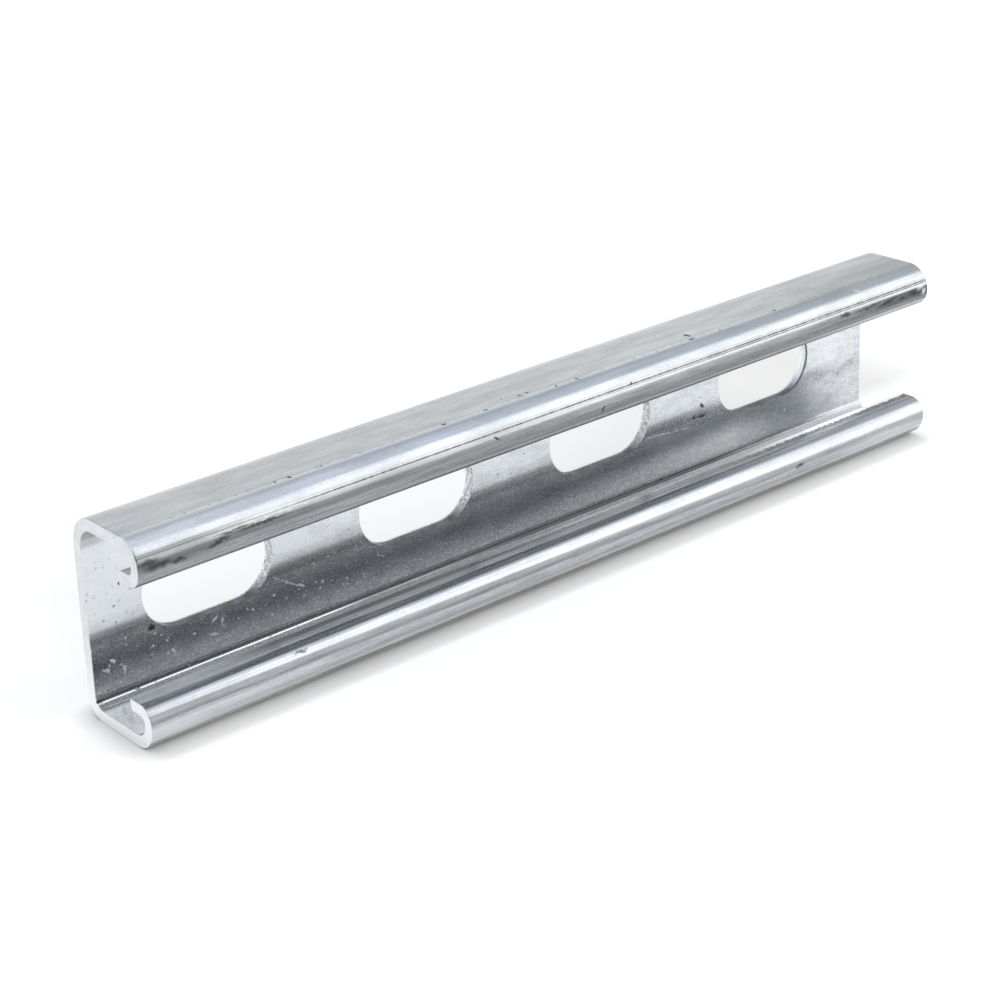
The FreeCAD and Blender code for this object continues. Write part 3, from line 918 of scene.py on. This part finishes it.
# %% Paint light and grains on the lower web
# Painted light on the low web, the root of its foot and the upper half's near end.
leaning = maths(tree, "SUBTRACT", far, spread(tree, along, 0.0, 60.0, 0.0, 1.4))
low_web = times(tree, spread(tree, leaning, -10.3, -14.2), spread(tree, far, -17.7, -15.2),
                spread(tree, along, 5.0, 60.0, 0.36, 1.0), spread(tree, along, 78.0, 62.0))
root = times(tree, spread(tree, far, -18.2, -18.7),
             either(tree, spread(tree, along, 30.0, 62.0), spread(tree, along, -104.0, -82.0, 0.1, 0.46)))
end_lit = times(tree, either(tree, band(tree, far, 14.0, 22.0, 1.0), spread(tree, far, 31.0, 34.0)),
                spread(tree, along, -93.0, -101.0, 0.0, 0.85))
# Painted highlight: a bright line beside the inner corner at the near end.
corner_highlight = times(tree, band(tree, far, -18.5, -18.25, 0.09), spread(tree, lines, 0.36, 0.5, 0.6, 1.0),
              either(tree, spread(tree, along, -40.0, -52.0), spread(tree, along, 0.0, -30.0, 0.0, 0.4)))
painted_light_and_grains = times(tree, either(tree, low_web, root, end_lit), spread(tree, fine, 0.3, 0.7, 0.75, 1.2),
              spread(tree, clumps, 0.35, 0.65, 0.85, 1.1), spread(tree, corner_highlight, 0.0, 1.0, 1.0, 0.0))
grained = band(tree, far, -17.0, -5.5, 2.0)
sand = spread(tree, grain(tree, flat, 0.5, 0.4, 2.0, seed=31.0, rough=0.7), 0.5, 0.62)
# Painted shade: the lower web a little darker.
colour = paint(tree, colour, times(tree, grained, 0.16), 0.05, 0.02)
painted_light_and_grains = either(tree, painted_light_and_grains, times(tree, grained, spread(tree, sand, 0.0, 1.0, 0.0, 0.17)))
colour = paint(tree, colour, painted_light_and_grains, 0.92, 0.02)

# %% [markdown]
# The inner corner at the web's foot mirrors the lit panel, so whatever lies in it shows as a line.
# Painted shade makes a dark one, which fades towards the far end, and beside it a painted highlight makes
# a bright one at the near end.

# %% Paint the corner's shade and highlight
# Painted shade in the inner corner, where the panel's reflection lies.
corner = either(tree, band(tree, far, -18.05, -17.35, 0.28),
                times(tree, band(tree, far, -18.55, -17.35, 0.28), spread(tree, along, -58.0, -42.0)))
corner = times(tree, corner, spread(tree, lines, 0.38, 0.55, 0.96, 1.0),
               spread(tree, along, 56.0, 120.0, 1.0, 0.1))
colour = paint(tree, colour, corner, 0.065, 0.02)
colour = paint(tree, colour, corner_highlight, 0.97, 0.02)

# %% [markdown]
# The saw threw chips into the near end, and white crumbs lie on the web there. A crumb is dull and not
# metal, so it looks pale against a dark reflection, as it does on the real web. The large ones are
# placed one by one, with two long scratches that look the same, and cells of noise scatter the dust
# between them, thinner further from the saw.

# %% Strew chips and crumbs inside
CRUMBS = [(-100.0, -10.2, 1.5, 0.8, -40), (-97.9, -12.8, 0.7, 1.9), (-101.5, -11.7, 1.0, 1.2, 30),
          (-88.5, -12.8, 0.6, 0.8), (-87.2, -12.9, 0.8, 1.5, 25), (-91.5, -10.4, 0.9, 0.8),
          (-88.3, -10.3, 0.6, 0.8), (-82.4, -10.9, 0.8, 0.7), (-77.6, -9.6, 1.9, 0.6, 30),
          (-76.0, -10.3, 0.6, 1.9, -15), (-75.9, -11.7, 0.9, 1.2, 30), (-78.0, -12.7, 2.2, 0.7, -15),
          (-70.3, -10.1, 0.6, 0.6), (-69.0, -10.6, 0.8, 0.7), (-61.2, -11.0, 0.7, 0.6),
          (-57.5, -9.5, 2.0, 0.7, -30), (-54.0, -10.0, 1.0, 0.4), (-52.5, -10.4, 0.7, 0.8),
          (-64.0, -9.4, 0.8, 0.7), (-96.9, -6.5, 0.4, 1.2), (-96.9, -8.0, 0.4, 0.7),
          (-60.5, -7.8, 8.0, 0.3, -32), (41.5, -6.6, 14.0, 0.4, -5), (-95.9, -18.2, 1.2, 0.8),
          (-99.0, -15.0, 0.8, 0.8), (79.0, -11.8, 0.9, 0.7)]

dust = specks(tree, rugged, 1.3, 0.5, 0.4, 17.0)
near_saw = times(tree, spread(tree, along, -104.0, -30.0, 1.0, 0.0), spread(tree, far, 2.0, -9.0, 0.2, 1.0))
heaps = times(tree, marks(tree, rugged, CRUMBS, 0.6), spread(tree, fine, 0.4, 0.47))
crumbs = either(tree, heaps, times(tree, dust, near_saw))
colour = paint(tree, colour, crumbs, 1.0)
tree.links.new(colour, shader.inputs["Base Color"])
metal = maths(tree, "SUBTRACT", 1.0, either(tree, crumbs, painted_light_and_grains))
tree.links.new(metal, shader.inputs["Metallic"])
rough = total(tree, (fine, 0.24), (crumbs, 0.4), start=0.12)
tree.links.new(rough, shader.inputs["Roughness"])
raise_by(tree, shader, (clouds, 0.03), (fine, 0.012), (crumbs, 0.3), (stained, -0.03))
print(len(CRUMBS), "chips and crumbs placed by hand")

# %% [markdown]
# The saw left both ends bright, with a fine rough grain. The flat strip's map has no room for a cut, so
# the grain follows Object coordinates, which stay with the piece. It is turned by some degrees, so that
# the noise's own grid doesn't line up with the section. Low down, near the paper, the ends are painted
# paler: painted light from the white paper.

# %% Grain the sawn ends
GRAIN_TURN = math.radians(20)
GRAIN_SIZE = 0.12 * MM

sawn, tree, shader = start_finish("sawn_steel", 1.0, 0.4)
place = put(tree, "TexCoord").outputs["Object"]
turned = put(tree, "Mapping", {"Vector": place, "Rotation": (GRAIN_TURN, 0, 0)}).outputs[0]
cut = grain(tree, turned, GRAIN_SIZE, GRAIN_SIZE, 3.0)
blur = grain(tree, place, 2 * MM, 2 * MM, 3.0, seed=2.0)
height = put(tree, "SeparateXYZ", {0: place}).outputs["Z"]
colour = greys(tree, spread(tree, maths(tree, "ADD", cut, blur), 0.7, 1.3), (0.68, 0.02), (0.84, 0.015))
# Painted light: paler low down, near the paper.
colour = paint(tree, colour, spread(tree, height, 16 * MM, 4 * MM), 0.97, 0.01)
tree.links.new(colour, shader.inputs["Base Color"])
tree.links.new(spread(tree, cut, 0.3, 0.7, 0.3, 0.5), shader.inputs["Roughness"])
raise_by(tree, shader, (cut, 0.01))
print("the sawn ends have a grain of", round(GRAIN_SIZE / MM, 2), "mm")

# %% [markdown]
# The punch left the slots' walls in two bands: smooth where it sheared, next to the back, and torn where
# the slug broke away, over the rest. The floors of the slots and the last slot's far wall are painted
# the palest, painted light. Water stands on the floors, so the zinc has gone brown and blue in turn along
# them, and on the far wall a thin line of the same stain runs beside the inner rim.

# %% Tear and stain the punched walls
BACK = DEPTH / 2
INNER_RIM = BACK - SHEET
SHEARED = 0.6 * MM          # how far the smooth band reaches in from the back
TORN_FROM = 0.9 * MM        # and where the wall is torn all over

punched, tree, shader = start_finish("punched_steel", 1.0, 0.4)
place = put(tree, "TexCoord").outputs["Object"]
way = put(tree, "SeparateXYZ", {0: place}).outputs
fine = grain(tree, place, 0.6 * MM, 0.6 * MM, 3.0, rough=0.8)
patches = grain(tree, place, 3 * MM, 3 * MM, 2.0, seed=3.0)
torn = spread(tree, way["Y"], BACK - TORN_FROM, BACK - SHEARED, 1.0, 0.0)
colour = greys(tree, spread(tree, fine, 0.38, 0.62), (0.34, 0.02), (0.95, 0.02))
stain = greys(tree, spread(tree, patches, 0.4, 0.6), (0.08, -0.2), (0.17, 0.16))
low = spread(tree, way["Z"], SLOT_HEIGHT - 7.6 * MM, SLOT_HEIGHT - 5.0 * MM, 1.0, 0.0)
last = spread(tree, way["X"], 76 * MM, 82 * MM)
# Painted light on the slots' floors and on the last slot's far wall.
colour = paint(tree, colour, either(tree, times(tree, low, 0.35), last), 0.97, 0.02)
damp_floor = times(tree, low, spread(tree, way["Y"], INNER_RIM + 1.5 * MM, INNER_RIM + 2.2 * MM, 1.0, 0.0))
damp_wall = times(tree, last, spread(tree, way["Y"], INNER_RIM + 0.3 * MM, INNER_RIM + 0.7 * MM, 1.0, 0.0))
damp = times(tree, either(tree, damp_floor, damp_wall), spread(tree, fine, 0.3, 0.7, 1.0, 0.85))
colour = tint(tree, damp, colour, stain)
tree.links.new(colour, shader.inputs["Base Color"])
tree.links.new(spread(tree, torn, 0.0, 1.0, 0.26, 0.5), shader.inputs["Roughness"])
raise_by(tree, shader, (times(tree, fine, torn), 0.05))
print(f"the walls are torn over {(SHEET - TORN_FROM) / MM:.1f} of {SHEET / MM:.1f} mm")

# %% [markdown]
# One piece can carry several finishes: each goes into a slot of its own, and every face is given the
# number of its slot.

# %% Dress the strip in its four finishes
finishes = dict(zip(KINDS, (outside, inside, sawn, punched)))
strip.data.materials.clear()
for finish in finishes.values():
    strip.data.materials.append(finish)
    print(finish.name, "uses", len(finish.node_tree.nodes), "nodes")
for face, kind in zip(strip.data.polygons, kinds):
    face.material_index = KINDS.index(kind)

# %% [markdown]
# The floor is plain white paper. Part of what the camera sees there is light falling on it, and the
# rest is the paper's own white. That share dies away under the steel, where little of the sky is open
# above the paper, so the contact shadow is as deep and short as it is in daylight. Close behind the
# strip, where the paper shows through the slots, a soft painted shadow makes it a little greyer.

# %% Lay the floor
FLOOR_SIDE = 6.0
PAPER_COLOUR = (0.86, 0.85, 0.835, 1)
GLOW_COLOUR = (0.955, 0.99, 1.045, 1)
GLOW = 0.5
SHADOW_REACH = 5.3 * MM
SHADOW_DEPTH = 2.9

bpy.ops.object.select_all(action="DESELECT")
bpy.ops.mesh.primitive_plane_add(size=FLOOR_SIDE, location=(0, 0, foot.z))
floor = bpy.context.object
floor.name = "floor"
paper = bpy.data.materials.new("paper")
paper.use_nodes = True
tree = paper.node_tree
tree.nodes.clear()
lit = put(tree, "BsdfDiffuse", {"Color": PAPER_COLOUR}).outputs[0]
open_sky = put(tree, "AmbientOcclusion", {"Distance": SHADOW_REACH}, samples=4).outputs["AO"]
place = put(tree, "SeparateXYZ", {0: put(tree, "TexCoord").outputs["Object"]}).outputs
# Painted shadow: the paper is dimmed in a patch behind the strip.
painted_shadow_behind = times(tree, spread(tree, place["Y"], 10 * MM, 20 * MM), spread(tree, place["Y"], 85 * MM, 60 * MM),
               spread(tree, place["X"], -100 * MM, -82 * MM), spread(tree, place["X"], 150 * MM, 125 * MM),
               spread(tree, place["X"], 10 * MM, 120 * MM, 0.08, 0.26))
strength = maths(tree, "SUBTRACT", times(tree, maths(tree, "POWER", open_sky, SHADOW_DEPTH), GLOW), painted_shadow_behind)
glow = put(tree, "Emission", {"Color": GLOW_COLOUR, "Strength": strength}).outputs[0]
both = put(tree, "AddShader", {0: lit, 1: glow}).outputs[0]
choice = put(tree, "MixShader", {0: seen(tree), 1: lit, 2: both}).outputs[0]
put(tree, "OutputMaterial", {"Surface": choice})
floor.data.materials.append(paper)
print("the floor lies at", round(foot.z / MM, 2), "mm and is", floor.dimensions.x, "m wide")

# %% [markdown]
# Steel shows its surroundings more than itself. The room is white at the height of the bench, goes over
# to a dim blue-grey, which draws the dark edge along the start of each bend, and is bright again right
# overhead. Heights in the room run from 0 at the bench to 1 overhead. Light that only falls on things is
# weaker than what a mirror shows, which leaves room for the lamp's.

# %% Surround the strip with a room
WHITE = (1, 1, 1, 1)
DIM_BLUE = (0.60, 0.65, 0.695, 1)
COOL = (0.84, 0.92, 1.08, 1)
OVERHEAD = (1.18, 1.18, 1.28, 1)
FILL = 0.6

world = bpy.data.worlds.new("studio")
bpy.context.scene.world = world
world.use_nodes = True
tree = world.node_tree
tree.nodes.clear()
upwards = put(tree, "SeparateXYZ", {0: put(tree, "TexCoord").outputs["Generated"]}).outputs["Z"]
room = tint(tree, spread(tree, upwards, 0.42, 0.52), WHITE, DIM_BLUE)
room = tint(tree, spread(tree, upwards, 0.72, 0.80), room, COOL)
room = tint(tree, spread(tree, upwards, 0.82, 0.88), room, OVERHEAD)
shown = tint(tree, put(tree, "LightPath").outputs["Is Camera Ray"], room, WHITE)
mirrored = put(tree, "Background", {"Color": shown, "Strength": 1.0}).outputs[0]
fill = put(tree, "Background", {"Color": WHITE, "Strength": FILL}).outputs[0]
choice = put(tree, "MixShader", {0: seen(tree), 1: fill, 2: mirrored}).outputs[0]
put(tree, "OutputWorld", {"Surface": choice})
print("the room lights the strip with a fill of", FILL)

# %% [markdown]
# One large panel in front and to the right leans on its corner, so that its upper edge runs along the
# strip in the reflection. It is the white band on both lips.

# %% Light the strip with a leaning panel
PANEL_PLACE = Vector((0.634, -0.662, 0.455))
PANEL_SIZE = (1.0, 1.14)
PANEL_LEAN = math.radians(-45)
PANEL_WATTS = 4.1

lamp = bpy.data.lights.new("leaning_panel", "AREA")
lamp.shape = "RECTANGLE"
lamp.size, lamp.size_y = PANEL_SIZE
lamp.energy = PANEL_WATTS
panel = bpy.data.objects.new("leaning_panel", lamp)
bpy.context.scene.collection.objects.link(panel)
aim = (Vector((0, 0, HEIGHT / 2)) - PANEL_PLACE).to_track_quat("-Z", "Y").to_matrix()
panel.matrix_world = Matrix.Translation(PANEL_PLACE) @ (aim @ Matrix.Rotation(PANEL_LEAN, 3, "Z")).to_4x4()
print(f"the panel stands {PANEL_PLACE.length:.2f} m away")

# %% [markdown]
# The camera looks down on the strip from in front of its near end, through a long lens. Its place and
# its three turns were solved together with the section, so that the outline of the near end and the row
# of slots fall where the photograph has them.

# %% Set the camera
CAMERA_PLACE = Vector((-0.27732, -0.32180, 0.19808))
TURN_RIGHT = math.radians(39.328)
LOOK_DOWN = math.radians(23.421)
TILT = math.radians(2.730)
FOCAL_SHARE = 2.2498        # focal length over the width of the picture

forward = Vector((math.sin(TURN_RIGHT) * math.cos(LOOK_DOWN), math.cos(TURN_RIGHT) * math.cos(LOOK_DOWN),
                  -math.sin(LOOK_DOWN)))
level = Vector((math.cos(TURN_RIGHT), -math.sin(TURN_RIGHT), 0))
down = forward.cross(level)
right = math.cos(TILT) * level + math.sin(TILT) * down
down = forward.cross(right)
turned = Matrix((right, -down, -forward)).transposed()
lens = bpy.data.cameras.new("camera")
lens.lens = FOCAL_SHARE * lens.sensor_width
lens.clip_start = 0.01
camera = bpy.data.objects.new("camera", lens)
bpy.context.scene.collection.objects.link(camera)
camera.matrix_world = Matrix.Translation(CAMERA_PLACE) @ turned.to_4x4()
bpy.context.scene.camera = camera
bpy.context.scene.view_settings.view_transform = "Standard"
print(f"the camera stands {CAMERA_PLACE.length:.2f} m away with a {lens.lens:.0f} mm lens")
